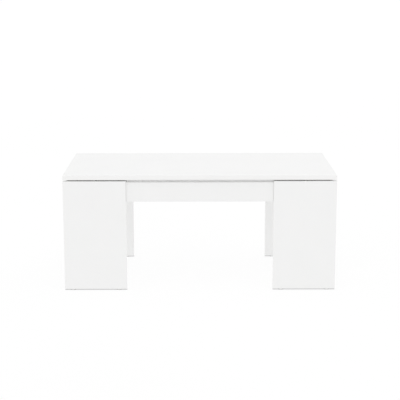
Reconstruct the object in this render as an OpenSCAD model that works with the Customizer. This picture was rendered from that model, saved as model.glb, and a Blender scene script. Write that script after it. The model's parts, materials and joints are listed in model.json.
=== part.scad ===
/* [Table] */
// Overall length, left to right
table_w = 1000; // [900:10:1200]
// Overall depth, front to back
table_d = 500; // [480:10:600]
// Height of the closed top above the floor
table_h = 430; // [400:5:480]
// Thickness of every board
board = 16; // [16:1:18]
// Thickness of the plastic band on the boards' edges
edge_band = 1; // [0.5:0.5:2]

/* [Legs and box] */
// Width of a leg board
leg_w = 230; // [200:1:280]
// Height of the legs' upper edges above the underside of the box
box_h = 77.5; // [77.5:0.5:90]
// Space between the legs' upper edges and the closed top
top_gap = 4.5; // [3.5:0.5:6]
// Space between the box's upper edges and the closed top
rail_gap = 3.5; // [2.5:0.5:4.5]
// Thickness of the facing panels, which cover the box between the legs
facing_t = 8; // [3:0.5:12]
// How much lower than the legs the facing panels end
facing_drop = 5; // [0:0.5:8]
// Height of a floor glide
glide_h = 3; // [2:0.5:6]

/* [Lift mechanism] */
// Distance between the two pivots of a lift arm
arm_length = 170; // [150:1:170]
// Width of a lift arm
arm_w = 20; // [18:1:20]
// Angle of the closed arms above the horizontal
closed_angle = 8; // [8:1:10]
// Angle of the fully lifted arms, from the same line
open_angle = 125; // [115:1:125]
// Distance between the rear and the front pivot on the base plate
pivot_spread = 100; // [95:1:105]

/* [Fittings] */
// Diameter of a cam fitting
cam_d = 15; // [15:1:15]
// Diameter of a wooden dowel
dowel_d = 8; // [6:1:8]
// Diameter of the lift arms' pivot studs
stud_d = 8; // [6:1:8]
// Outer diameter of the lift springs
coil_d = 13; // [11:0.5:13]

/* [Hidden] */
$fn = 48;

// Radial gap of a fitting that is glued, pressed or screwed home
fit_gap = 0.05;
// Gap between a leg and the end of a facing panel
facing_gap = 0.2;
// Radial gap of a turning pivot
run_gap = 0.05;
// Radial gap of a turning pivot that closes a loop of arms
loop_gap = 0.15;

// Board planes, measured from the middle of the table
half_w = table_w / 2;
half_d = table_d / 2;
top_under = table_h - board;
leg_top = top_under - top_gap;
rail_top = top_under - rail_gap;
facing_top = leg_top - facing_drop;
box_bottom = leg_top - box_h;
box_mid = (box_bottom + rail_top) / 2;
shelf_top = box_bottom + board;
end_x = half_w - board;
rail_y = half_d - board;
inner_x = end_x - board;
inner_y = rail_y - board;
leg_x = half_w - leg_w;
leg_mid_x = half_w - leg_w / 2;
leg_mid_y = half_d - board / 2;
rail_mid_y = rail_y - board / 2;
shelf_mid_z = box_bottom + board / 2;

// Cam fittings: a cam turned in a pocket, and a bolt whose head it pulls
cam_depth = 12.5;
cam_setback = 34;
bolt_thread_d = 5;
bolt_thread_l = 11;
bolt_shank_d = 6;
bolt_head_d = 7.4;
bolt_head_l = 3;
bolt_bore_d = 8;
cam_recess_d = 7;
cam_recess = 2;
cap_d = 17;
cap_h = 1;
shelf_cam_x = [-400, 0, 400] * table_w / 1000;

// Wooden dowels
dowel_l = 30;
dowel_in_face = 10;
corner_dowel_rise = 24;
shelf_dowel_x = [-440, -200, 200, 440] * table_w / 1000;
shelf_dowel_y = [-150, 150] * table_d / 500;

// Screws: length, shank diameter, head diameter, head height
screw_recess = 1.2;
leg_screw = [28, 4.5, 9, 2.6];
plate_screw = [14, 4, 7.6, 2];
bracket_screw = [13, 4, 7.6, 2];
leg_screw_x = [leg_x + 32, half_w - 90];
leg_screw_rise = 16;

// Floor glides and closing bumpers
glide_d = 14;
glide_x = [leg_x + 30, half_w - 30];
glide_rim = 1;
nail_d = 2;
nail_l = 15;
bumper_d = 10;

// Lift mechanism: depths s are measured from the end panel's inner face,
// and points are [y, z] pairs with the arms closed
plate_t = 2.5;
washer_t = 1;
arm_s = plate_t + washer_t;
arm_t = 3;
bracket_s = arm_s + arm_t + washer_t;
bracket_t = 2.5;
flange_w = 30;
stud_head_d = 14;
stud_head_t = 2;
side_gap = 0.2;
washer_d = 16;

rear_pivot = [15, shelf_top + 13];
front_pivot = rear_pivot + [-pivot_spread, 18];
function polar(radius, angle) = radius * [cos(angle), sin(angle)];
rear_tip = rear_pivot + polar(arm_length, closed_angle);
front_tip = front_pivot + polar(arm_length, closed_angle);

// Base plate outline, its screws, and the stop that ends the lift
plate_front = rear_pivot[0] - 150;
plate_rear = rear_pivot[0] + 18;
plate_low = shelf_top + 1;
plate_high = shelf_top + 44;
plate_cut = 12;
plate_screw_at = [
    [plate_front + 9, plate_low + 9],
    [rear_pivot[0] - 62, plate_low + 9],
    [rear_pivot[0] - 56, plate_high - 9],
    [rear_pivot[0] + 9, plate_high - 17],
];
stop_reach = 12;
buffer_d = 12;
stop_stud_d = 6;
stop_clear = 0.1;
stop_at = front_pivot + polar(stop_reach, open_angle)
    + polar(arm_w / 2 + buffer_d / 2 + stop_clear, open_angle + 90);

// Top bracket
bracket_front = front_tip[0] - 20;
bracket_rear = rear_tip[0] + 20;
bracket_drop = 10;
front_lug_r = stud_head_d / 2 + 2;
rear_lug_r = stud_head_d / 2 + 4;
bracket_screw_y = [bracket_front + 10, front_tip[0] + 35, rear_tip[0] - 35, bracket_rear - 10];
bracket_screw_s = bracket_s + 19;

// Extension spring between the base plate and the rear arm
spring_s = 17;
wire_d = 1.8;
anchor_d = 6;
anchor_end = spring_s + 5;
collar_d = 9;
collar_t = 1.5;
spring_anchor = rear_pivot + [-130, 12];
spring_crank = 20;
arm_pin = rear_pivot + polar(spring_crank, closed_angle);
spring_run = arm_pin - spring_anchor;
spring_l = norm(spring_run);
spring_angle = atan2(spring_run[1], spring_run[0]);
hook_r = anchor_d / 2 + side_gap + wire_d / 2;
hook_l = 11;
coil_pitch = 3;
coil_wall = 0.7;

white = "#f1f1ee";
board_white = "#f6f6f4";
beech = "#d9b98a";
zinc = "#b9bcc0";
black_steel = "#26272a";
nylon = "#e4e2da";
rubber = "#1d1d1f";

// The boards and their fittings are drawn at the rear right and the lift mechanism
// on the left; these two place the mirrored copies
module flip_x(on) {
    if (on) mirror([1, 0, 0]) children();
    else children();
}

module flip_y(on) {
    if (on) mirror([0, 1, 0]) children();
    else children();
}

module at_four_corners() {
    for (left = [false, true]) {
        for (front = [false, true]) {
            flip_x(left) flip_y(front) children();
        }
    }
}

// A board between two opposite corners
module slab(low, high) {
    translate(low) cube(high - low);
}

// Round bars along X, Y and Z, from one end to the other
module bar_x(from, to, y, z, d) {
    translate([from, y, z]) rotate([0, 90, 0]) cylinder(h = to - from, d = d);
}

module bar_y(from, to, x, z, d) {
    translate([x, from, z]) rotate([-90, 0, 0]) cylinder(h = to - from, d = d);
}

module bar_z(from, to, x, y, d) {
    translate([x, y, from]) cylinder(h = to - from, d = d);
}

// Cross for a driver, sunk into the face at z = 0
module cross_recess(size, depth) {
    width = size / 4;
    translate([-size / 2, -width / 2, -depth]) cube([size, width, 2 * depth]);
    translate([-width / 2, -size / 2, -depth]) cube([width, size, 2 * depth]);
}

// Countersunk screw: its head is flush with z = 0 and it points down
module screw(size) {
    tip_l = 3;
    difference() {
        union() {
            translate([0, 0, -size[3]]) cylinder(h = size[3], d1 = size[1], d2 = size[2]);
            translate([0, 0, tip_l - size[0]]) cylinder(h = size[0] - tip_l - size[3] / 2, d = size[1]);
            translate([0, 0, -size[0]]) cylinder(h = tip_l, d1 = size[1] / 4, d2 = size[1]);
        }
        cross_recess(size[1], screw_recess);
    }
}

// The hole that the screw sits in
module screw_hole(size) {
    hole_d = size[1] + 2 * fit_gap;
    translate([0, 0, -size[0] - 1]) cylinder(h = size[0] + 2, d = hole_d);
    translate([0, 0, -size[3]]) cylinder(h = size[3], d1 = hole_d, d2 = size[2] + 2 * fit_gap);
}

// Fittings of the rear right corner
module corner_dowel_pair(gap) {
    for (rise = [-corner_dowel_rise, corner_dowel_rise]) {
        bar_x(inner_x + dowel_in_face - dowel_l - gap, inner_x + dowel_in_face + gap,
            rail_mid_y, box_mid + rise, dowel_d + 2 * gap);
    }
}

module corner_cam_pocket(gap) {
    bar_y(inner_y, inner_y + cam_depth, inner_x - cam_setback, box_mid, cam_d + 2 * gap);
}

module corner_bolt_bore() {
    bar_x(inner_x - cam_setback, inner_x, rail_mid_y, box_mid, bolt_bore_d);
}

module corner_bolt_thread(gap) {
    bar_x(inner_x, inner_x + bolt_thread_l, rail_mid_y, box_mid, bolt_thread_d + 2 * gap);
}

module corner_cam() {
    difference() {
        corner_cam_pocket(0);
        corner_bolt_bore();
        translate([inner_x - cam_setback, inner_y, box_mid]) rotate([90, 0, 0])
            cross_recess(cam_recess_d, cam_recess);
    }
}

module corner_cam_bolt() {
    corner_bolt_thread(0);
    bar_x(inner_x - cam_setback, inner_x, rail_mid_y, box_mid, bolt_shank_d);
    bar_x(inner_x - cam_setback, inner_x - cam_setback + bolt_head_l, rail_mid_y, box_mid, bolt_head_d);
}

// Fittings between the bottom panel and the rear rail, at one place along X
module shelf_cam_pocket(x, gap) {
    bar_z(box_bottom, box_bottom + cam_depth, x, inner_y - cam_setback, cam_d + 2 * gap);
}

module shelf_bolt_bore(x) {
    bar_y(inner_y - cam_setback, inner_y, x, shelf_mid_z, bolt_bore_d);
}

module shelf_bolt_thread(x, gap) {
    bar_y(inner_y, inner_y + bolt_thread_l, x, shelf_mid_z, bolt_thread_d + 2 * gap);
}

module shelf_cam(x) {
    difference() {
        shelf_cam_pocket(x, 0);
        shelf_bolt_bore(x);
        translate([x, inner_y - cam_setback, box_bottom]) cross_recess(cam_recess_d, cam_recess);
    }
}

module shelf_cam_bolt(x) {
    shelf_bolt_thread(x, 0);
    bar_y(inner_y - cam_setback, inner_y, x, shelf_mid_z, bolt_shank_d);
    bar_y(inner_y - cam_setback, inner_y - cam_setback + bolt_head_l, x, shelf_mid_z, bolt_head_d);
}

module shelf_dowel_y_run(x, gap) {
    bar_y(inner_y + dowel_in_face - dowel_l - gap, inner_y + dowel_in_face + gap,
        x, shelf_mid_z, dowel_d + 2 * gap);
}

module shelf_dowel_x_run(y, gap) {
    bar_x(inner_x + dowel_in_face - dowel_l - gap, inner_x + dowel_in_face + gap,
        y, shelf_mid_z, dowel_d + 2 * gap);
}

// The four screws that hold the rear right leg to its rail
module at_leg_screws() {
    for (x = leg_screw_x) {
        for (rise = [-leg_screw_rise, leg_screw_rise]) {
            translate([x, inner_y, box_mid + rise]) rotate([90, 0, 0]) children();
        }
    }
}

module glide_nail_holes() {
    for (x = glide_x) {
        bar_z(glide_h - 1, glide_h + nail_l, x, leg_mid_y, nail_d + 2 * fit_gap);
    }
}

module leg() {
    difference() {
        slab([leg_x + edge_band, rail_y, glide_h + edge_band],
            [half_w - edge_band, half_d, leg_top - edge_band]);
        at_leg_screws() screw_hole(leg_screw);
        glide_nail_holes();
    }
}

module leg_edge_band() {
    difference() {
        slab([leg_x, rail_y, glide_h], [half_w, half_d, leg_top]);
        slab([leg_x + edge_band, rail_y - 1, glide_h + edge_band],
            [half_w - edge_band, half_d + 1, leg_top - edge_band]);
        glide_nail_holes();
    }
}

module rail() {
    difference() {
        slab([edge_band - inner_x, inner_y, box_bottom + edge_band],
            [inner_x - edge_band, rail_y, rail_top - edge_band]);
        for (left = [false, true]) {
            flip_x(left) {
                corner_dowel_pair(fit_gap);
                corner_cam_pocket(fit_gap);
                corner_bolt_bore();
                at_leg_screws() screw_hole(leg_screw);
            }
        }
        for (x = shelf_cam_x) {
            shelf_bolt_thread(x, fit_gap);
        }
        for (x = shelf_dowel_x) {
            shelf_dowel_y_run(x, fit_gap);
        }
    }
}

module rail_edge_band() {
    difference() {
        slab([-inner_x, inner_y, box_bottom], [inner_x, rail_y, rail_top]);
        slab([edge_band - inner_x, inner_y - 1, box_bottom + edge_band],
            [inner_x - edge_band, rail_y + 1, rail_top - edge_band]);
        for (left = [false, true]) {
            flip_x(left) {
                corner_dowel_pair(fit_gap);
                corner_bolt_bore();
            }
        }
    }
}

module end_panel() {
    difference() {
        slab([inner_x, -rail_y, box_bottom + edge_band], [end_x, rail_y, rail_top - edge_band]);
        for (front = [false, true]) {
            flip_y(front) {
                corner_dowel_pair(fit_gap);
                corner_bolt_thread(fit_gap);
            }
        }
        for (y = shelf_dowel_y) {
            shelf_dowel_x_run(y, fit_gap);
        }
        flip_x(true) at_plate_screws() screw_hole(plate_screw);
    }
}

// The strips on an end panel's lower and upper edges
module end_panel_edge_band() {
    for (z = [box_bottom, rail_top - edge_band]) {
        slab([inner_x, -rail_y, z], [end_x, rail_y, z + edge_band]);
    }
}

module front_left_leg() {
    color(board_white) flip_x(true) flip_y(true) leg();
}

module front_right_leg() {
    color(board_white) flip_y(true) leg();
}

module rear_left_leg() {
    color(board_white) flip_x(true) leg();
}

module rear_right_leg() {
    color(board_white) leg();
}

module leg_edge_bands() {
    color(white) at_four_corners() leg_edge_band();
}

module front_rail() {
    color(board_white) flip_y(true) rail();
}

module rear_rail() {
    color(board_white) rail();
}

module rail_edge_bands() {
    color(white) for (front = [false, true]) {
        flip_y(front) rail_edge_band();
    }
}

module left_end_panel() {
    color(board_white) flip_x(true) end_panel();
}

module right_end_panel() {
    color(board_white) end_panel();
}

module end_panel_edge_bands() {
    color(white) for (left = [false, true]) {
        flip_x(left) end_panel_edge_band();
    }
}

module long_facing_panel() {
    color(board_white)
        slab([facing_gap - leg_x, rail_y, box_bottom], [leg_x - facing_gap, rail_y + facing_t, facing_top]);
}

module end_facing_panel() {
    color(board_white)
        slab([end_x, facing_gap - rail_y, box_bottom], [end_x + facing_t, rail_y - facing_gap, facing_top]);
}

module bottom_panel() {
    color(board_white) difference() {
        slab([-inner_x, -inner_y, box_bottom], [inner_x, inner_y, shelf_top]);
        for (front = [false, true]) {
            flip_y(front) {
                for (x = shelf_cam_x) {
                    shelf_cam_pocket(x, fit_gap);
                    shelf_bolt_bore(x);
                }
                for (x = shelf_dowel_x) {
                    shelf_dowel_y_run(x, fit_gap);
                }
            }
        }
        for (left = [false, true]) {
            for (y = shelf_dowel_y) {
                flip_x(left) shelf_dowel_x_run(y, fit_gap);
            }
        }
    }
}

module top_panel() {
    color(board_white) difference() {
        slab([edge_band - half_w, edge_band - half_d, top_under],
            [half_w - edge_band, half_d - edge_band, table_h]);
        for (right = [false, true]) {
            flip_x(right) at_bracket_screws() screw_hole(bracket_screw);
        }
    }
}

module top_edge_band() {
    color(white) difference() {
        slab([-half_w, -half_d, top_under], [half_w, half_d, table_h]);
        slab([edge_band - half_w, edge_band - half_d, top_under - 1],
            [half_w - edge_band, half_d - edge_band, table_h + 1]);
    }
}

module corner_cams() {
    color(zinc) at_four_corners() corner_cam();
}

module corner_cam_bolts() {
    color(zinc) at_four_corners() corner_cam_bolt();
}

module corner_dowels() {
    color(beech) at_four_corners() corner_dowel_pair(0);
}

module bottom_cams() {
    color(zinc) for (front = [false, true]) {
        for (x = shelf_cam_x) {
            flip_y(front) shelf_cam(x);
        }
    }
}

module bottom_cam_bolts() {
    color(zinc) for (front = [false, true]) {
        for (x = shelf_cam_x) {
            flip_y(front) shelf_cam_bolt(x);
        }
    }
}

module bottom_dowels() {
    color(beech) {
        for (front = [false, true]) {
            for (x = shelf_dowel_x) {
                flip_y(front) shelf_dowel_y_run(x, 0);
            }
        }
        for (left = [false, true]) {
            for (y = shelf_dowel_y) {
                flip_x(left) shelf_dowel_x_run(y, 0);
            }
        }
    }
}

module cam_caps() {
    color(white) {
        at_four_corners() translate([inner_x - cam_setback, inner_y, box_mid])
            rotate([90, 0, 0]) cylinder(h = cap_h, d1 = cap_d, d2 = cap_d - 2 * cap_h);
        for (front = [false, true]) {
            for (x = shelf_cam_x) {
                flip_y(front) translate([x, inner_y - cam_setback, box_bottom - cap_h])
                    cylinder(h = cap_h, d1 = cap_d - 2 * cap_h, d2 = cap_d);
            }
        }
    }
}

module leg_screws() {
    color(zinc) at_four_corners() at_leg_screws() screw(leg_screw);
}

module floor_glides() {
    color(nylon) at_four_corners() for (x = glide_x) {
        difference() {
            union() {
                bar_z(glide_rim, glide_h, x, leg_mid_y, glide_d);
                translate([x, leg_mid_y, 0])
                    cylinder(h = glide_rim, d1 = glide_d - 2 * glide_rim, d2 = glide_d);
            }
            bar_z(glide_rim, glide_h + 1, x, leg_mid_y, nail_d + 2 * fit_gap);
        }
    }
}

module glide_nails() {
    color(zinc) at_four_corners() for (x = glide_x) {
        bar_z(glide_rim, glide_h + nail_l, x, leg_mid_y, nail_d);
    }
}

module closing_bumpers() {
    color(nylon) {
        at_four_corners() bar_z(leg_top, top_under, leg_mid_x, leg_mid_y, bumper_d);
        for (front = [false, true]) {
            flip_y(front) bar_z(rail_top, top_under, 0, rail_mid_y, bumper_d);
        }
    }
}

// A flat layer of the left mechanism between two depths, drawn in the Y-Z plane
module layer(s_from, s_to) {
    translate([s_from - inner_x, 0, 0]) rotate([90, 0, 90]) linear_extrude(s_to - s_from) children();
}

module dot(at, d) {
    translate(at) circle(d = d);
}

module at_plate_screws() {
    for (at = plate_screw_at) {
        translate([plate_t - inner_x, at[0], at[1]]) rotate([0, 90, 0]) children();
    }
}

module at_bracket_screws() {
    for (y = bracket_screw_y) {
        translate([bracket_screw_s - inner_x, y, top_under - bracket_t]) rotate([180, 0, 0]) children();
    }
}

module base_plate() {
    color(black_steel) difference() {
        layer(0, plate_t) difference() {
            polygon([
                [plate_front, plate_low], [plate_rear, plate_low],
                [plate_rear, plate_high - plate_cut], [plate_rear - plate_cut, plate_high],
                [plate_front + plate_cut, plate_high], [plate_front, plate_high - plate_cut],
            ]);
            dot(rear_pivot, stud_d + 2 * fit_gap);
            dot(front_pivot, stud_d + 2 * fit_gap);
            dot(spring_anchor, anchor_d + 2 * fit_gap);
            dot(stop_at, stop_stud_d + 2 * fit_gap);
        }
        at_plate_screws() screw_hole(plate_screw);
    }
}

module base_pivots() {
    head_s = arm_s + arm_t + side_gap;
    color(zinc) for (at = [rear_pivot, front_pivot]) {
        layer(0, head_s) dot(at, stud_d);
        layer(head_s, head_s + stud_head_t) dot(at, stud_head_d);
    }
}

module washer(at, s_from) {
    layer(s_from, s_from + washer_t) difference() {
        dot(at, washer_d);
        dot(at, stud_d + 2 * run_gap);
    }
}

module base_washers() {
    color(nylon) for (at = [rear_pivot, front_pivot]) {
        washer(at, plate_t);
    }
}

module spring_anchor_stud() {
    color(zinc) {
        layer(0, anchor_end) dot(spring_anchor, anchor_d);
        layer(anchor_end, anchor_end + collar_t) dot(spring_anchor, collar_d);
    }
}

module stop_stud() {
    head_s = arm_s + arm_t + side_gap;
    color(zinc) {
        layer(0, head_s) dot(stop_at, stop_stud_d);
        layer(head_s, head_s + collar_t) dot(stop_at, collar_d);
    }
}

module stop_buffer() {
    color(rubber) layer(arm_s - side_gap, arm_s + arm_t + side_gap) difference() {
        dot(stop_at, buffer_d);
        dot(stop_at, stop_stud_d + 2 * fit_gap);
    }
}

// Flat bar with round ends, bored for its two pivots
module arm(pivot, tip, tip_gap) {
    layer(arm_s, arm_s + arm_t) difference() {
        union() {
            dot(pivot, arm_w);
            dot(tip, arm_w);
            translate(pivot) rotate(closed_angle) translate([0, -arm_w / 2]) square([arm_length, arm_w]);
        }
        dot(pivot, stud_d + 2 * run_gap);
        dot(tip, stud_d + 2 * tip_gap);
        children();
    }
}

module rear_arm(tip_gap) {
    color(black_steel) arm(rear_pivot, rear_tip, tip_gap) dot(arm_pin, anchor_d + 2 * fit_gap);
}

module front_arm() {
    color(black_steel) arm(front_pivot, front_tip, loop_gap);
}

module arm_spring_pin() {
    color(zinc) {
        layer(arm_s, anchor_end) dot(arm_pin, anchor_d);
        layer(anchor_end, anchor_end + collar_t) dot(arm_pin, collar_d);
    }
}

module top_bracket() {
    web_bottom = top_under - bracket_drop;
    color(black_steel) difference() {
        union() {
            layer(bracket_s, bracket_s + bracket_t) difference() {
                union() {
                    translate([bracket_front, web_bottom])
                        square([bracket_rear - bracket_front, bracket_drop]);
                    polygon([
                        [bracket_front, web_bottom], front_tip - [front_lug_r, 0],
                        front_tip - [0, front_lug_r], rear_tip - [rear_lug_r, 0],
                        rear_tip + [rear_lug_r, 0], [bracket_rear, web_bottom],
                    ]);
                    dot(front_tip, 2 * front_lug_r);
                    dot(rear_tip, 2 * rear_lug_r);
                }
                dot(front_tip, stud_d + 2 * fit_gap);
                dot(rear_tip, stud_d + 2 * fit_gap);
            }
            slab([bracket_s - inner_x, bracket_front, top_under - bracket_t],
                [bracket_s + flange_w - inner_x, bracket_rear, top_under]);
        }
        at_bracket_screws() screw_hole(bracket_screw);
    }
}

module top_pivots() {
    head_end = arm_s - side_gap;
    color(zinc) for (at = [rear_tip, front_tip]) {
        layer(head_end - stud_head_t, head_end) dot(at, stud_head_d);
        layer(head_end, bracket_s + bracket_t) dot(at, stud_d);
        layer(bracket_s + bracket_t, bracket_s + bracket_t + collar_t) dot(at, stud_head_d - 2);
    }
}

module top_washers() {
    color(nylon) for (at = [rear_tip, front_tip]) {
        washer(at, arm_s + arm_t);
    }
}

// Coil body as a ridged sleeve with closed ends, and a round hook at each end
module spring() {
    coil_r = coil_d / 2 - wire_d / 2;
    coil_l = spring_l - 2 * hook_l;
    turns = floor(coil_l / coil_pitch);
    color(zinc) translate([spring_s - inner_x, spring_anchor[0], spring_anchor[1]])
        rotate([spring_angle - 90, 0, 0]) {
            translate([0, 0, hook_l]) rotate_extrude() {
                translate([coil_r - coil_wall, 0]) square([coil_wall, coil_l]);
                square([coil_r, wire_d]);
                translate([0, coil_l - wire_d]) square([coil_r, wire_d]);
                for (turn = [0:turns]) {
                    translate([coil_r, wire_d / 2 + turn * (coil_l - wire_d) / turns]) circle(d = wire_d);
                }
            }
            for (far = [0, 1]) {
                translate([0, 0, far * spring_l]) rotate([0, 90, 0]) rotate_extrude()
                    translate([hook_r, 0]) circle(d = wire_d);
                translate([0, 0, far == 0 ? hook_r : spring_l - hook_l])
                    cylinder(h = hook_l - hook_r, d = wire_d);
            }
        }
}

module base_plate_screws() {
    color(zinc) for (right = [false, true]) {
        flip_x(right) at_plate_screws() screw(plate_screw);
    }
}

module top_bracket_screws() {
    color(zinc) for (right = [false, true]) {
        flip_x(right) at_bracket_screws() screw(bracket_screw);
    }
}

top_panel();
top_edge_band();
front_left_leg();
front_right_leg();
rear_left_leg();
rear_right_leg();
leg_edge_bands();
front_rail();
rear_rail();
rail_edge_bands();
left_end_panel();
right_end_panel();
end_panel_edge_bands();
bottom_panel();
flip_y(true) long_facing_panel();  // front_facing_panel
long_facing_panel();  // rear_facing_panel
flip_x(true) end_facing_panel();  // left_facing_panel
end_facing_panel();  // right_facing_panel
corner_cams();
corner_cam_bolts();
corner_dowels();
bottom_cams();
bottom_cam_bolts();
bottom_dowels();
cam_caps();
leg_screws();
floor_glides();
glide_nails();
closing_bumpers();
base_plate();  // base_plate_left
flip_x(true) base_plate();  // base_plate_right
base_pivots();  // base_pivots_left
flip_x(true) base_pivots();  // base_pivots_right
base_washers();  // base_washers_left
flip_x(true) base_washers();  // base_washers_right
spring_anchor_stud();  // spring_anchor_left
flip_x(true) spring_anchor_stud();  // spring_anchor_right
stop_stud();  // stop_stud_left
flip_x(true) stop_stud();  // stop_stud_right
stop_buffer();  // stop_buffer_left
flip_x(true) stop_buffer();  // stop_buffer_right
rear_arm(run_gap);  // rear_arm_left
flip_x(true) rear_arm(loop_gap);  // rear_arm_right
arm_spring_pin();  // arm_spring_pin_left
flip_x(true) arm_spring_pin();  // arm_spring_pin_right
front_arm();  // front_arm_left
flip_x(true) front_arm();  // front_arm_right
top_bracket();  // top_bracket_left
flip_x(true) top_bracket();  // top_bracket_right
top_pivots();  // top_pivots_left
flip_x(true) top_pivots();  // top_pivots_right
top_washers();  // top_washers_left
flip_x(true) top_washers();  // top_washers_right
spring();  // spring_left
flip_x(true) spring();  // spring_right
base_plate_screws();
top_bracket_screws();
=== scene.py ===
"""Looks of a white lift top coffee table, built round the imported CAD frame.

Everything is in metres in the frame's own axes: +X to the right, +Y to the rear, +Z up.
"""
import json
import math
import bmesh
import bpy
from mathutils import Matrix, Vector
from mathutils.geometry import interpolate_bezier


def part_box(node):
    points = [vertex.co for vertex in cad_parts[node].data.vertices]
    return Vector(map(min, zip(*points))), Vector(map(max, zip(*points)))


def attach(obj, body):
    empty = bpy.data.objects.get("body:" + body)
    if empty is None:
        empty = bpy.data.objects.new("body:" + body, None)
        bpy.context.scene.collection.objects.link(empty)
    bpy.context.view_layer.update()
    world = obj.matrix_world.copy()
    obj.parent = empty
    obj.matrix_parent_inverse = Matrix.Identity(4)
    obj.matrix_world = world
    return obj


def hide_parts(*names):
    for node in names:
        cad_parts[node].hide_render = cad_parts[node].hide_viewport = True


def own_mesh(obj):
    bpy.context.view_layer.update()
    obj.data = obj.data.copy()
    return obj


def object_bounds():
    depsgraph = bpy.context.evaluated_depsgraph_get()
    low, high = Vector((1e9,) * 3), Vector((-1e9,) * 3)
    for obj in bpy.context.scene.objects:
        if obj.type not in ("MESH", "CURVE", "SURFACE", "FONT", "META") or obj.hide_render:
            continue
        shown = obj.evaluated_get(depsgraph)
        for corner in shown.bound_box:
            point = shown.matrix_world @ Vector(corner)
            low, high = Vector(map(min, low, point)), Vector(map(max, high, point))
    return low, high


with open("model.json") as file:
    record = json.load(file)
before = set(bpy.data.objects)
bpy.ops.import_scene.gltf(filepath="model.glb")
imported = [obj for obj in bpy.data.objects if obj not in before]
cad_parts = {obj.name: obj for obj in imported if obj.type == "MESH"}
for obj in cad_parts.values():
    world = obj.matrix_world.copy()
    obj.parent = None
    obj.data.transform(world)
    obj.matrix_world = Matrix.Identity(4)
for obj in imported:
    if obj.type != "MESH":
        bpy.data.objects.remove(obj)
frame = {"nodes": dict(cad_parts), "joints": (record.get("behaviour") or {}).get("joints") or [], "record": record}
cad_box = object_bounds()

MM = 0.001
AXES = (Vector((1, 0, 0)), Vector((0, 1, 0)), Vector((0, 0, 1)))
SIDES = ("left", "right")
BODY_OF = {node: body for body, nodes in frame["record"]["behaviour"]["bodies"].items() for node in nodes}
SLOT_OF = {part["node"]: part["material_slot"] for part in frame["record"]["subparts"]}
JOINT_AT = {joint["name"]: Vector(joint["pos_m"]) for joint in frame["joints"]}
low_corner, high_corner = cad_box
middle = (low_corner + high_corner) / 2

# How the CAD meshes are read: corners closer than MERGE are one, faces within FLAT_ANGLE are one,
# a corner within ON_PLANE of a plane lies on it, and edges that turn more than SHARP_ANGLE get rounded
MERGE = 0.002 * MM
ON_PLANE = 0.01 * MM
FLAT_ANGLE = math.radians(0.5)
SHARP_ANGLE = math.radians(30)

# Edges of a finished piece that turn more than this are shaded as creases
CREASE_ANGLE = math.radians(35)

# Boards: the groove between a board and its band, and the rounding of the trimmed outer edges
SEAM = 0.10 * MM
ARRIS = 0.7 * MM

# Fittings: a cross recess's floor is this share of its mouth, and a thread has this many rings a turn
RECESS_TAPER = 0.6
THREAD_RINGS = 4
DOWEL_SIDES = 40
BOLT_THREAD = 11 * MM
STUD_RADIUS = 4 * MM
STUD_HEAD = 2 * MM
COLLAR = 1.5 * MM
GROOVE_SETBACK = 5 * MM
WASHER_BORE = 4.05 * MM
BUFFER_BORE = 3.05 * MM
CAM_EASE = 0.25 * MM

# Lift arms and sheet metal
CAPSULE_STEPS = 24
RIB_SETBACK = 36 * MM
RIB_RADIUS = 4 * MM
RIB_LEVELS = [
    (0, RIB_RADIUS), (0.2 * MM, RIB_RADIUS - 0.1 * MM), (0.42 * MM, RIB_RADIUS - 0.35 * MM),
    (0.5 * MM, RIB_RADIUS - 0.8 * MM),
]
EDGE_EASE = 0.4 * MM
HOLE_EASE = 0.2 * MM
SHEET = 2.5 * MM
FOLD_RADIUS = 1.6 * MM
STUD_HOLE = 4.05 * MM
LOOP_HOLE = 4.15 * MM
PIN_HOLE = 3.05 * MM

# Springs: a hook's two angles are in degrees from the line between the pins, and BEND_PULL is how long the
# handles of the curve from hook to coil are
WIRE_RADIUS = 0.9 * MM
HOOK_RADIUS = 4.1 * MM
HOOK_LENGTH = 11 * MM
HOOK_OPENS_AT = 325
HOOK_LEAVES_AT = 60
HOOK_STEPS = 18
BEND_STEPS = 10
BEND_PULL = 5 * MM
COIL_RADIUS = 5.6 * MM
COIL_TURNS = 42
POINTS_A_TURN = 16

# Stage: the camera stands a little left of the middle, above the table, and looks slightly down;
# CAMERA_DOWN, CAMERA_RIGHT and CAMERA_ROLL are how far it is turned, in radians
FLOOR_RADIUS = 60.0
FLOOR_GLOW = 0.885
# The floor's glow is dimmed by ambient occlusion within this reach of any surface: painted contact shade round the
# feet and glides
PAINTED_CONTACT_SHADE_REACH = 4.0 * MM
SKY_STRENGTH = 0.955
CAMERA_PLACE = Vector((-0.0167, -4.2637, 1.1835))
CAMERA_DOWN = 0.20716
CAMERA_RIGHT = 0.00447
CAMERA_ROLL = 0.00085
CAMERA_LENS_MM = 101.135
SENSOR_MM = 36.0


# ---------------------------------------------------------------- materials

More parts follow.
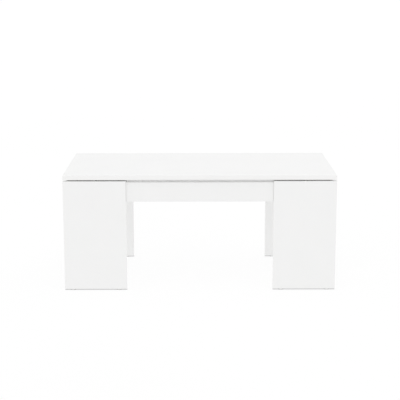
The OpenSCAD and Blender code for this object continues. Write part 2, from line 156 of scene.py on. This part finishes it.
class Shader:
    """A principled material whose textures are measured in the frame's own metres."""

    def __init__(self, name, metallic=0.0):
        self.material = bpy.data.materials.new(name)
        self.material.use_nodes = True
        self.tree = self.material.node_tree
        self.surface = self.tree.nodes["Principled BSDF"]
        self.surface.inputs["Metallic"].default_value = metallic
        self.place = self.node("ShaderNodeTexCoord").outputs["Object"]

    def node(self, kind, **settings):
        made = self.tree.nodes.new(kind)
        for key, value in settings.items():
            setattr(made, key, value)
        return made

    def join(self, source, target):
        self.tree.links.new(source, target)

    def noise(self, features_per_metre, stretch=(1, 1, 1), detail=2.0):
        """Noise whose features are 1 / features_per_metre wide, drawn out along an axis by stretch."""
        mapping = self.node("ShaderNodeMapping")
        mapping.inputs["Scale"].default_value = stretch
        texture = self.node("ShaderNodeTexNoise")
        texture.inputs["Scale"].default_value = features_per_metre
        texture.inputs["Detail"].default_value = detail
        self.join(self.place, mapping.inputs["Vector"])
        self.join(mapping.outputs["Vector"], texture.inputs["Vector"])
        return texture.outputs["Fac"]

    def ramp(self, value, low, high, start=0.3, end=0.7):
        """Turns a 0-1 value into a colour between low and high."""
        ramp = self.node("ShaderNodeValToRGB")
        ramp.color_ramp.elements[0].position = start
        ramp.color_ramp.elements[1].position = end
        ramp.color_ramp.elements[0].color = (*low, 1)
        ramp.color_ramp.elements[1].color = (*high, 1)
        self.join(value, ramp.inputs["Fac"])
        return ramp.outputs["Color"]

    def colour(self, value, low, high, start=0.3, end=0.7):
        self.join(self.ramp(value, low, high, start, end), self.surface.inputs["Base Color"])

    def roughness(self, value, low, high):
        span = self.node("ShaderNodeMapRange")
        span.inputs["To Min"].default_value = low
        span.inputs["To Max"].default_value = high
        self.join(value, span.inputs["Value"])
        self.join(span.outputs["Result"], self.surface.inputs["Roughness"])

    def bump(self, *layers):
        """Each layer is (height value, depth in metres); they are stacked on each other."""
        normal = None
        for height, depth in layers:
            bump = self.node("ShaderNodeBump")
            bump.inputs["Distance"].default_value = depth
            self.join(height, bump.inputs["Height"])
            if normal:
                self.join(normal, bump.inputs["Normal"])
            normal = bump.outputs["Normal"]
        self.join(normal, self.surface.inputs["Normal"])


def melamine():
    """White melamine skin: a faint pearl grain under a satin sheen."""
    made = Shader("white_melamine")
    made.colour(made.noise(9, detail=4), (0.889, 0.889, 0.886), (0.899, 0.899, 0.896))
    made.roughness(made.noise(220), 0.34, 0.44)
    made.bump((made.noise(35), 0.04 * MM), (made.noise(1300, detail=3), 0.03 * MM))
    return made.material


def edge_banding():
    """Plastic edge band: a touch warmer than the skin, with faint lines along the strip."""
    made = Shader("white_edge_band")
    made.colour(made.noise(14), (0.896, 0.895, 0.888), (0.908, 0.907, 0.901))
    made.roughness(made.noise(400, stretch=(0.05, 0.05, 1)), 0.30, 0.40)
    made.bump((made.noise(900, stretch=(0.03, 0.03, 1)), 0.02 * MM), (made.noise(60), 0.05 * MM))
    return made.material


def chipboard():
    """Raw pressed chips, where a board has no skin or band."""
    made = Shader("raw_chipboard")
    made.colour(made.noise(700, detail=6), (0.34, 0.25, 0.16), (0.66, 0.54, 0.39))
    made.roughness(made.noise(500), 0.75, 0.95)
    made.bump((made.noise(500, detail=8), 0.4 * MM))
    return made.material


def powder_coat():
    """Black powder-coated steel with a fine leathery grain."""
    made = Shader("black_powder_coat")
    made.colour(made.noise(160, detail=5), (0.021, 0.021, 0.023), (0.029, 0.029, 0.031))
    made.roughness(made.noise(300), 0.40, 0.58)
    made.bump((made.noise(2200, detail=2), 0.05 * MM), (made.noise(200), 0.05 * MM))
    return made.material


def zinc_plate():
    """Bright zinc plating with cloudy patches and fine machining lines."""
    made = Shader("zinc_plate", metallic=1.0)
    made.colour(made.noise(260, detail=5), (0.60, 0.61, 0.63), (0.76, 0.77, 0.78))
    made.roughness(made.noise(420, detail=4), 0.24, 0.42)
    made.bump((made.noise(1600, stretch=(1, 0.2, 0.2)), 0.02 * MM))
    return made.material


def spring_wire():
    """Drawn spring steel: darker than the studs, with die lines."""
    made = Shader("spring_wire", metallic=1.0)
    made.colour(made.noise(350, detail=3), (0.42, 0.43, 0.45), (0.60, 0.61, 0.62))
    made.roughness(made.noise(600), 0.26, 0.40)
    made.bump((made.noise(2400), 0.01 * MM))
    return made.material


def moulded(name, low, high, rough):
    """Moulded plastic with a faint spark-eroded grain."""
    made = Shader(name)
    made.colour(made.noise(120), low, high)
    made.roughness(made.noise(500), rough - 0.06, rough + 0.06)
    made.bump((made.noise(1800), 0.02 * MM))
    return made.material


def rubber():
    """Matt black rubber with a dusty bloom."""
    made = Shader("black_rubber")
    made.colour(made.noise(300, detail=5), (0.016, 0.016, 0.017), (0.045, 0.045, 0.047))
    made.roughness(made.noise(400), 0.70, 0.88)
    made.bump((made.noise(1500), 0.06 * MM))
    return made.material


def beech():
    """Compressed beech with short dark flecks along the grain."""
    made = Shader("beech")
    made.colour(made.noise(900, stretch=(0.25, 0.25, 1), detail=4), (0.52, 0.34, 0.19), (0.73, 0.54, 0.35))
    made.roughness(made.noise(500), 0.55, 0.72)
    made.bump((made.noise(1400, stretch=(0.2, 0.2, 1)), 0.06 * MM))
    return made.material


MATERIALS = {
    "melamine_board": melamine(),
    "edge_band": edge_banding(),
    "zinc_fittings": zinc_plate(),
    "beech_dowels": beech(),
    "white_caps": moulded("white_cap_plastic", (0.80, 0.80, 0.78), (0.84, 0.84, 0.82), 0.45),
    "nylon": moulded("white_nylon", (0.86, 0.86, 0.84), (0.90, 0.90, 0.88), 0.42),
    "black_steel": powder_coat(),
    "spring_steel": spring_wire(),
    "rubber_buffers": rubber(),
    "clear_bumpers": moulded("milky_bumper", (0.30, 0.30, 0.29), (0.36, 0.36, 0.35), 0.50),
}
MATERIALS["zinc_studs"] = MATERIALS["zinc_fittings"]
MATERIALS["wrapped_panel"] = MATERIALS["melamine_board"]
RAW_BOARD = chipboard()


# ---------------------------------------------------------------- reading the CAD

def joined(node):
    """The CAD node's mesh with shared corners."""
    mesh = bmesh.new()
    mesh.from_mesh(frame["nodes"][node].data)
    bmesh.ops.remove_doubles(mesh, verts=mesh.verts, dist=MERGE)
    return mesh


def welded(node):
    """The CAD node's mesh with shared corners and whole flat faces."""
    mesh = joined(node)
    bmesh.ops.dissolve_limit(mesh, angle_limit=FLAT_ANGLE, verts=mesh.verts, edges=mesh.edges)
    return mesh


def solids(node):
    """The (low, high) corners of each separate solid of a CAD node."""
    mesh = joined(node)
    boxes, seen = [], set()
    for first in mesh.verts:
        if first in seen:
            continue
        seen.add(first)
        island = [first]
        for vert in island:
            for edge in vert.link_edges:
                other = edge.other_vert(vert)
                if other not in seen:
                    seen.add(other)
                    island.append(other)
        boxes.append((
            Vector([min(v.co[i] for v in island) for i in range(3)]),
            Vector([max(v.co[i] for v in island) for i in range(3)]),
        ))
    mesh.free()
    return sorted(boxes, key=lambda box: tuple(round(value, 6) for value in box[0]))


def longest(size):
    return max(range(3), key=lambda axis: size[axis])


def shortest(size):
    return min(range(3), key=lambda axis: size[axis])


# ---------------------------------------------------------------- making pieces

def finish_piece(mesh, name, *nodes, second_material=None):
    """Makes the piece from a bmesh, dresses it and lets it stand for its CAD nodes."""
    bmesh.ops.recalc_face_normals(mesh, faces=mesh.faces)
    data = bpy.data.meshes.new(name)
    mesh.to_mesh(data)
    mesh.free()
    data.shade_smooth()
    data.set_sharp_from_angle(angle=CREASE_ANGLE)
    data.materials.append(MATERIALS[SLOT_OF[nodes[0]]])
    if second_material:
        data.materials.append(second_material)
    piece = bpy.data.objects.new(name, data)
    bpy.context.scene.collection.objects.link(piece)
    normals = piece.modifiers.new("flat_faces", "WEIGHTED_NORMAL")
    normals.keep_sharp = True
    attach(piece, BODY_OF[nodes[0]])
    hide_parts(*nodes)
    return piece


def sharp_edges(mesh):
    return [e for e in mesh.edges if len(e.link_faces) == 2 and e.calc_face_angle(0) > SHARP_ANGLE]


def round_edges(mesh, edges, radius, steps=3):
    bmesh.ops.bevel(mesh, geom=edges, offset=radius, offset_type="OFFSET", segments=steps,
                    profile=0.5, affect="EDGES", clamp_overlap=False)


def on_outer_box(edge, low, high):
    """True for the edges of the box that bounds the whole solid."""
    planes = [(axis, corner[axis]) for axis in range(3) for corner in (low, high)]
    touched = [all(abs(v.co[axis] - plane) < ON_PLANE for v in edge.verts) for axis, plane in planes]
    return sum(touched) >= 2


def board(node):
    """A board's core: its own edges only just broken, so that the seam to the band is a fine groove."""
    low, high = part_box(node)
    thin = shortest(high - low)
    mesh = welded(node)
    rim = [e for e in sharp_edges(mesh) if on_outer_box(e, low, high)]
    round_edges(mesh, rim, SEAM, steps=1)
    for face in mesh.faces:
        if abs(face.normal[thin]) < 0.1:
            face.material_index = 1
    finish_piece(mesh, node + "_board", node, second_material=RAW_BOARD)


def banding(node):
    """Edge bands: the outer arris is trimmed round, the seam side is only just broken."""
    boxes = solids(node)
    mesh = welded(node)
    edges = sharp_edges(mesh)
    outer = [e for e in edges if any(on_outer_box(e, low, high) for low, high in boxes)]
    inner = [e for e in edges if e not in outer]
    round_edges(mesh, inner, SEAM, steps=1)
    outer = [e for e in sharp_edges(mesh) if any(on_outer_box(e, low, high) for low, high in boxes)]
    round_edges(mesh, outer, ARRIS)
    finish_piece(mesh, node + "_strip", node)


# ---------------------------------------------------------------- round fittings

def seat(low, high, axis):
    """A frame on the end of a round piece that faces the table's middle, or the floor.

    Its Z axis leads out of the piece, so that the piece itself lies at heights below zero.
    """
    place = (low + high) / 2
    outward = -1 if axis == 2 or place[axis] > 0 else 1
    place[axis] = high[axis] if outward > 0 else low[axis]
    turned = AXES[2].rotation_difference(outward * AXES[axis]).to_matrix().to_4x4()
    return Matrix.Translation(place) @ turned


def bridge(mesh, first, second):
    for k in range(len(first)):
        mesh.faces.new((first[k - 1], first[k], second[k], second[k - 1]))


def rings(mesh, place, profile, sides):
    """The profile's (height, radius) points spun about Z and joined, open at both ends.

    A radius is a length, or a function that gives one from the share of a turn.
    """
    made = []
    for height, radius in profile:
        ring = []
        for step in range(sides):
            reach = radius(step / sides) if callable(radius) else radius
            angle = 2 * math.pi * step / sides
            at = Vector((reach * math.cos(angle), reach * math.sin(angle), height))
            ring.append(mesh.verts.new(place @ at))
        if made:
            bridge(mesh, made[-1], ring)
        made.append(ring)
    return made


def turned(mesh, place, profile, sides=32):
    """A solid turned piece; its two ends are flat."""
    made = rings(mesh, place, profile, sides)
    mesh.faces.new(made[0])
    mesh.faces.new(made[-1])


def sleeve(mesh, place, bore, outer, length, chamfer, sides=40):
    """A ring with all four of its rims chamfered."""
    made = rings(mesh, place, [
        (-chamfer, bore), (0, bore + chamfer), (0, outer - chamfer), (-chamfer, outer),
        (chamfer - length, outer), (-length, outer - chamfer),
        (-length, bore + chamfer), (chamfer - length, bore),
    ], sides)
    bridge(mesh, made[-1], made[0])


def loop_edges(mesh, loop):
    return [mesh.edges.get((loop[k - 1], loop[k])) or mesh.edges.new((loop[k - 1], loop[k]))
            for k in range(len(loop))]


def fill(mesh, *loops):
    """The flat face inside the first loop and outside the others."""
    edges = [edge for loop in loops for edge in loop_edges(mesh, loop)]
    bmesh.ops.triangle_fill(mesh, use_beauty=True, edges=edges)


def cross_headed(mesh, place, profile, size, sides=24):
    """A turned piece whose first end has a tapered cross sunk into it."""
    made = rings(mesh, place, profile, sides)
    mesh.faces.new(made[-1])
    half, arm = size / 2, size / 8
    outline = []
    for quarter in range(4):
        turn = Matrix.Rotation(quarter * math.pi / 2, 4, "Z")
        outline += [turn @ Vector(corner) for corner in ((half, -arm, 0), (half, arm, 0), (arm, arm, 0))]
    upper = [mesh.verts.new(place @ corner) for corner in outline]
    sunk = Matrix.Translation((0, 0, -arm * 2)) @ Matrix.Diagonal((RECESS_TAPER, RECESS_TAPER, 1, 1))
    lower = [mesh.verts.new(place @ sunk @ corner) for corner in outline]
    bridge(mesh, upper, lower)
    mesh.faces.new(lower)
    fill(mesh, made[0], upper)


def thread(start, end, core, crest, pitch):
    """Profile points whose radius swings between core and crest as the thread winds down."""
    def ridge(height):
        return lambda share: core + (crest - core) * max(0, 1 - 4 * abs((height / pitch - share) % 1 - 0.5))
    steps = round((start - end) / pitch * THREAD_RINGS)
    heights = [start + (end - start) * step / steps for step in range(steps + 1)]
    return [(height, ridge(height)) for height in heights]


def screw(mesh, place, length, head):
    """Countersunk chipboard screw with a deep thread and a cross recess."""
    shank = 0.5 * head
    head_end = head - shank
    profile = [(0, head - 0.2 * MM), (-0.12 * MM, head - 0.1 * MM), (-head_end, 0.95 * shank)]
    profile += thread(-head_end - 0.5 * MM, 3 * MM - length, shank * 0.68, shank, 0.85 * shank)
    profile += [(-length, 0.15 * MM)]
    cross_headed(mesh, place, profile, head * 1.15)


def cam_bolt(mesh, place, length, head):
    """Cam bolt: a ball head on a thin neck, a shank, a collar on the board's face and a coarse thread."""
    thread_top = BOLT_THREAD - length
    turned(mesh, place, [
        (0, 0.45 * head), (-0.3 * MM, 0.78 * head), (-0.9 * MM, head), (-1.9 * MM, head),
        (-2.6 * MM, 0.8 * head), (-3.0 * MM, 0.54 * head), (-8 * MM, 0.54 * head), (-9 * MM, 0.8 * head),
        (thread_top + 1.2 * MM, 0.8 * head), (thread_top + 1.2 * MM, head), (thread_top, head),
        *thread(thread_top - 0.1 * MM, 1.5 * MM - length, 0.5 * head, 0.67 * head, 2 * MM),
        (-length, 0.3 * head),
    ], sides=24)


def cam_cap(mesh, place, length, rim):
    """Push-on cap: a low dome with a fine ring pressed into it."""
    turned(mesh, place, [
        (-0.06 * MM, 0.1 * rim), (0, 0.3 * rim), (-0.02 * MM, 0.58 * rim), (-0.16 * MM, 0.62 * rim),
        (-0.08 * MM, 0.66 * rim), (-0.22 * MM, 0.86 * rim), (-0.5 * MM, 0.95 * rim), (-length, rim),
    ], sides=40)


def dowel(mesh, place, length, rim):
    """Fluted dowel with chamfered ends."""
    def fluted(share):
        return rim * (0.95 if round(share * DOWEL_SIDES) % 2 else 1)
    turned(mesh, place, [
        (0, 0.68 * rim), (-1.2 * MM, fluted), (1.2 * MM - length, fluted), (-length, 0.68 * rim),
    ], sides=DOWEL_SIDES)


def glide(mesh, place, length, rim):
    """Moulded foot: a flat sole rolled up at its rim."""
    turned(mesh, place, [
        (0, 0.80 * rim), (-0.12 * MM, 0.88 * rim), (-0.45 * MM, 0.95 * rim), (-1.0 * MM, 0.99 * rim),
        (-1.4 * MM, rim), (-length + 0.2 * MM, rim), (-length, 0.97 * rim),
    ], sides=40)


def nail(mesh, place, length, rim):
    """Ring-shank nail, pointed at its upper end."""
    ridges = []
    for grip in range(5, 12):
        ridges += [(-grip * MM, 0.82 * rim), (-(grip + 0.6) * MM, rim)]
    turned(mesh, place, [(0, rim), *ridges, (2 * MM - length, 0.85 * rim), (-length, 0.05 * rim)], sides=16)


def bumper(mesh, place, length, rim):
    """Soft pad that bulges a little under the closed top."""
    turned(mesh, place, [
        (0, 0.90 * rim), (-0.06 * length, 0.94 * rim), (-0.3 * length, 0.99 * rim), (-0.55 * length, rim),
        (-0.8 * length, 0.96 * rim), (-0.94 * length, 0.88 * rim), (-length, 0.78 * rim),
    ])


def base_pivot(mesh, place, length, rim):
    """Riveted stud: a domed head with a punch mark, and the shank it stands on."""
    head, shank = STUD_HEAD, STUD_RADIUS
    turned(mesh, place, [
        (-0.35 * MM, 0.08 * rim), (-0.15 * MM, 0.2 * rim), (0, 0.34 * rim), (-0.12 * MM, 0.6 * rim),
        (-0.45 * MM, 0.84 * rim), (-1.0 * MM, 0.97 * rim), (-1.5 * MM, rim), (-head, rim), (-head, shank),
        (0.4 * MM - length, shank), (-length, 0.9 * shank),
    ])


def top_pivot(mesh, place, length, rim):
    """Riveted stud whose head is on the far side: this end is its flattened tail."""
    head, shank, tail = STUD_HEAD, STUD_RADIUS, 0.86 * rim
    turned(mesh, place, [
        (-0.25 * MM, 0.15 * tail), (0, 0.4 * tail), (-0.1 * MM, 0.7 * tail), (-0.5 * MM, 0.93 * tail),
        (-1.0 * MM, tail), (-1.5 * MM, tail), (-1.5 * MM, shank), (head - length, shank),
        (head - length, rim), (0.5 * MM - length, rim), (0.15 * MM - length, 0.95 * rim),
        (-length, 0.82 * rim),
    ])


def spring_pin(mesh, place, length, collar):
    """Pin with a collar at its free end and a groove for the spring's hook."""
    shaft = collar * 2 / 3
    groove = -COLLAR - GROOVE_SETBACK
    turned(mesh, place, [
        (-0.1 * MM, 0.2 * collar), (0, 0.7 * collar), (-0.25 * MM, 0.94 * collar), (-0.55 * MM, collar),
        (0.2 * MM - COLLAR, collar), (-COLLAR, 0.95 * collar), (-COLLAR, shaft),
        (groove + 1.6 * MM, shaft), (groove + 1.1 * MM, 0.77 * shaft), (groove - 1.1 * MM, 0.77 * shaft),
        (groove - 1.6 * MM, shaft), (0.3 * MM - length, shaft), (-length, 0.9 * shaft),
    ])


def stop_pin(mesh, place, length, collar):
    """Short pin with a domed collar that keeps the rubber buffer on."""
    shaft = collar * 2 / 3
    turned(mesh, place, [
        (0, 0.3 * collar), (-0.2 * MM, 0.75 * collar), (-0.6 * MM, 0.96 * collar), (-1.0 * MM, collar),
        (-COLLAR, collar), (-COLLAR, shaft), (0.3 * MM - length, shaft), (-length, 0.9 * shaft),
    ])


def washer(mesh, place, length, rim):
    sleeve(mesh, place, WASHER_BORE, rim, length, 0.15 * MM)


def buffer(mesh, place, length, rim):
    sleeve(mesh, place, BUFFER_BORE, rim, length, 0.6 * MM)


def fittings(node, axis, make):
    """All the pieces of one CAD node; the axis is a number, or a function of a piece's size."""
    mesh = bmesh.new()
    for low, high in solids(node):
        size = high - low
        about = axis(size) if callable(axis) else axis
        across = [size[other] for other in range(3) if other != about]
        make(mesh, seat(low, high, about), size[about], max(across) / 2)
    return mesh


# CAD node, the axis its pieces are turned about, and the function that makes one of them
ROUND_FITTINGS = [
    ("leg_screws", 1, screw), ("base_plate_screws", 0, screw), ("top_bracket_screws", 2, screw),
    ("corner_cam_bolts", 0, cam_bolt), ("bottom_cam_bolts", 1, cam_bolt),
    ("floor_glides", 2, glide), ("glide_nails", 2, nail), ("closing_bumpers", 2, bumper),
    ("corner_dowels", longest, dowel), ("bottom_dowels", longest, dowel), ("cam_caps", shortest, cam_cap),
]
for side in SIDES:
    ROUND_FITTINGS += [
        ("base_pivots_" + side, 0, base_pivot), ("top_pivots_" + side, 0, top_pivot),
        ("spring_anchor_" + side, 0, spring_pin), ("arm_spring_pin_" + side, 0, spring_pin),
        ("stop_stud_" + side, 0, stop_pin), ("stop_buffer_" + side, 0, buffer),
        ("base_washers_" + side, 0, washer), ("top_washers_" + side, 0, washer),
    ]


def cam(node, axis):
    """Cam fitting: the CAD shape, with the rim and the cross recess of its face eased."""
    mesh = welded(node)
    face = min(abs(v.co[axis]) for v in mesh.verts)
    rim = [e for e in sharp_edges(mesh) if all(abs(abs(v.co[axis]) - face) < ON_PLANE for v in e.verts)]
    round_edges(mesh, rim, CAM_EASE, steps=2)
    return mesh


# ---------------------------------------------------------------- lift mechanism

def capsule(first, second, radius):
    """(y, z) outline at a radius from the line between two points; a circle where they are one point."""
    along = math.atan2(second.z - first.z, second.y - first.y)
    outline = []
    for end, start in ((second, along - math.pi / 2), (first, along + math.pi / 2)):
        for step in range(CAPSULE_STEPS):
            angle = start + math.pi * (step + 0.5) / CAPSULE_STEPS
            outline.append((end.y + radius * math.cos(angle), end.z + radius * math.sin(angle)))
    return outline


def wall(mesh, first, second, levels):
    """Loops at (x, radius) levels round the line between two points, joined. Returns the outermost two."""
    loops = []
    for x, radius in levels:
        loop = [mesh.verts.new((x, y, z)) for y, z in capsule(first, second, radius)]
        if loops:
            bridge(mesh, loops[-1], loop)
        loops.append(loop)
    return loops[0], loops[-1]


def eased(x_from, x_to, radius, ease):
    """Levels of a wall whose two rims are rounded; a negative ease rounds the rims of a hole."""
    inward = math.copysign(abs(ease), x_to - x_from)
    rim = []
    for angle in (0, 30, 60, 90):
        turn = math.radians(angle)
        rim.append((inward * (1 - math.cos(turn)), radius - ease * (1 - math.sin(turn))))
    near = [(x_from + depth, reach) for depth, reach in rim]
    far = [(x_to - depth, reach) for depth, reach in reversed(rim)]
    return near + far


def lift_arm(name, pivot, tip, holes):
    """Flat bar with round ends, its edges eased, and a long rib pressed towards the table's middle."""
    low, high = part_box(name)
    outer, inner = (low.x, high.x) if low.x < 0 else (high.x, low.x)
    inward = math.copysign(1, inner - outer)
    along = (tip - pivot).normalized()
    rib = (pivot + RIB_SETBACK * along, tip - RIB_SETBACK * along)
    mesh = bmesh.new()
    outline = wall(mesh, pivot, tip, eased(outer, inner, high.z - tip.z, EDGE_EASE))
    bores = [wall(mesh, at, at, eased(outer, inner, radius, -HOLE_EASE)) for at, radius in holes]
    for face, face_x in enumerate((outer, inner)):
        foot, crown = wall(mesh, *rib, [(face_x + inward * rise, radius) for rise, radius in RIB_LEVELS])
        mesh.faces.new(crown)
        fill(mesh, outline[face], foot, *[bore[face] for bore in bores])
    return mesh


def softened(node, ease):
    """A CAD shape with its sharp edges eased."""
    mesh = welded(node)
    round_edges(mesh, sharp_edges(mesh), ease, steps=2)
    return mesh


def folded_bracket(node):
    """Top bracket: its fold is rounded as in bent sheet, and its other edges are eased."""
    low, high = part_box(node)
    outer_x = max(abs(low.x), abs(high.x))
    mesh = welded(node)

    def runs_along(edge, depth):
        """True for a long edge that lies this deep under both of the fold's outer faces."""
        under = [abs(gap - depth) < 2 * ON_PLANE for v in edge.verts
                 for gap in (outer_x - abs(v.co.x), high.z - v.co.z)]
        return all(under) and edge.calc_length() > 0.9 * (high.y - low.y)

    fold = [edge for edge in mesh.edges if runs_along(edge, 0) or runs_along(edge, SHEET)]
    round_edges(mesh, fold, FOLD_RADIUS, steps=4)
    round_edges(mesh, sharp_edges(mesh), EDGE_EASE, steps=2)
    return mesh


def wire(mesh, points, radius, sides=8):
    """Round wire along the points, with flat ends."""
    made, normal = [], AXES[0]
    for k, point in enumerate(points):
        ahead = (points[min(k + 1, len(points) - 1)] - points[max(k - 1, 0)]).normalized()
        normal = (normal - normal.dot(ahead) * ahead).normalized()
        side = ahead.cross(normal)
        ring = []
        for step in range(sides):
            angle = 2 * math.pi * step / sides
            reach = radius * (math.cos(angle) * normal + math.sin(angle) * side)
            ring.append(mesh.verts.new(point + reach))
        if made:
            bridge(mesh, made[-1], ring)
        made.append(ring)
    mesh.faces.new(made[0])
    mesh.faces.new(made[-1])


def spring(side):
    """Extension spring: one wire that hooks round a pin, winds the coil and hooks round the other pin.

    Half of its line is worked out as (along, across, sideways); the far half is that half turned round.
    """
    start = JOINT_AT[f"spring_{side}_swing"]
    low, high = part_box("arm_spring_pin_" + side)
    end = Vector((start.x, (low.y + high.y) / 2, (low.z + high.z) / 2))
    length = (end - start).length
    along = (end - start).normalized()
    across = AXES[0].cross(along)

    half = []
    for step in range(HOOK_STEPS + 1):
        angle = math.radians(HOOK_OPENS_AT + (HOOK_LEAVES_AT - HOOK_OPENS_AT) * step / HOOK_STEPS)
        half.append(Vector((HOOK_RADIUS * math.cos(angle), HOOK_RADIUS * math.sin(angle), 0)))
    leaving = (half[-1] - half[-2]).normalized()
    coil_start = Vector((HOOK_LENGTH, -COIL_RADIUS, 0))
    arriving = Vector((0.1, 0, -1))
    pulls = (half[-1] + BEND_PULL * leaving, coil_start - BEND_PULL * arriving)
    half += interpolate_bezier(half[-1], *pulls, coil_start, BEND_STEPS)[1:]
    steps = COIL_TURNS // 2 * POINTS_A_TURN
    for step in range(1, steps + 1):
        angle = math.pi + 2 * math.pi * step / POINTS_A_TURN
        reach = HOOK_LENGTH + (length / 2 - HOOK_LENGTH) * step / steps
        half.append(Vector((reach, COIL_RADIUS * math.cos(angle), COIL_RADIUS * math.sin(angle))))
    line = half + [Vector((length - p.x, p.y, -p.z)) for p in reversed(half[:-1])]

    mesh = bmesh.new()
    wire(mesh, [start + p.x * along + p.y * across + p.z * AXES[0] for p in line], WIRE_RADIUS)
    piece = finish_piece(mesh, "spring_coil_" + side, "spring_" + side)
    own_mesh(piece)


# ---------------------------------------------------------------- the whole table

for node, slot in SLOT_OF.items():
    if slot == "melamine_board":
        board(node)
    elif slot == "edge_band":
        banding(node)
    elif slot == "wrapped_panel":
        finish_piece(softened(node, ARRIS), node + "_board", node)

for node, axis, make in ROUND_FITTINGS:
    finish_piece(fittings(node, axis, make), node + "_set", node)
for node, axis in (("corner_cams", 1), ("bottom_cams", 2)):
    finish_piece(cam(node, axis), node + "_set", node)

arm_reach = JOINT_AT["top_level"] - JOINT_AT["lift"]
for side in SIDES:
    plate, bracket = "base_plate_" + side, "top_bracket_" + side
    finish_piece(softened(plate, EDGE_EASE), "base_plate_sheet_" + side, plate)
    finish_piece(folded_bracket(bracket), "top_bracket_sheet_" + side, bracket)
    pin_low, pin_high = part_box("arm_spring_pin_" + side)
    rear, front = JOINT_AT["lift"], JOINT_AT["front_arm_left_swing"]
    rear_hole = STUD_HOLE if side == "left" else LOOP_HOLE
    rear_holes = [(rear, STUD_HOLE), (rear + arm_reach, rear_hole), ((pin_low + pin_high) / 2, PIN_HOLE)]
    front_holes = [(front, STUD_HOLE), (front + arm_reach, LOOP_HOLE)]
    finish_piece(lift_arm("rear_arm_" + side, rear, rear + arm_reach, rear_holes),
                 "rear_arm_bar_" + side, "rear_arm_" + side)
    finish_piece(lift_arm("front_arm_" + side, front, front + arm_reach, front_holes),
                 "front_arm_bar_" + side, "front_arm_" + side)
    spring(side)


# ---------------------------------------------------------------- stage, light and camera

def floor():
    mesh = bmesh.new()
    bmesh.ops.create_circle(mesh, cap_ends=True, segments=96, radius=FLOOR_RADIUS)
    data = bpy.data.meshes.new("floor")
    mesh.to_mesh(data)
    mesh.free()
    made = bpy.data.objects.new("floor", data)
    made.location = (middle.x, middle.y, low_corner.z)
    bpy.context.scene.collection.objects.link(made)
    shader = Shader("pale_floor")
    shader.colour(shader.noise(0.5), (0.095, 0.095, 0.095), (0.105, 0.105, 0.105))
    shader.surface.inputs["Roughness"].default_value = 0.9
    shader.surface.inputs["Specular IOR Level"].default_value = 0.1
    shader.surface.inputs["Emission Strength"].default_value = FLOOR_GLOW
    # Painted contact shade: the floor's glow is dimmed wherever ambient occlusion finds a surface within the reach
    painted_contact_shade = shader.node("ShaderNodeAmbientOcclusion", samples=16)
    painted_contact_shade.inputs["Distance"].default_value = PAINTED_CONTACT_SHADE_REACH
    shader.join(painted_contact_shade.outputs["Color"], shader.surface.inputs["Emission Color"])
    data.materials.append(shader.material)


def softbox(name, place, aim, size, power):
    light = bpy.data.lights.new(name, "AREA")
    light.shape = "SQUARE"
    light.size = size
    light.energy = power
    made = bpy.data.objects.new(name, light)
    made.location = place
    made.rotation_euler = (Vector(aim) - Vector(place)).to_track_quat("-Z", "Y").to_euler()
    bpy.context.scene.collection.objects.link(made)


floor()
world = bpy.data.worlds.new("white_studio")
world.use_nodes = True
world.node_tree.nodes["Background"].inputs["Color"].default_value = (1, 1, 1, 1)
world.node_tree.nodes["Background"].inputs["Strength"].default_value = SKY_STRENGTH
bpy.context.scene.world = world
bpy.context.scene.view_settings.view_transform = "Standard"

softbox("overhead_softbox", (0.4, -0.6, 3.6), middle, 3.0, 11.0)

camera = bpy.data.objects.new("camera", bpy.data.cameras.new("camera"))
camera.data.sensor_width = SENSOR_MM
camera.data.lens = CAMERA_LENS_MM
camera.data.clip_end = 2 * FLOOR_RADIUS
camera.location = CAMERA_PLACE
camera.rotation_euler = (math.pi / 2 - CAMERA_DOWN, CAMERA_ROLL, -CAMERA_RIGHT)
bpy.context.scene.collection.objects.link(camera)
bpy.context.scene.camera = camera
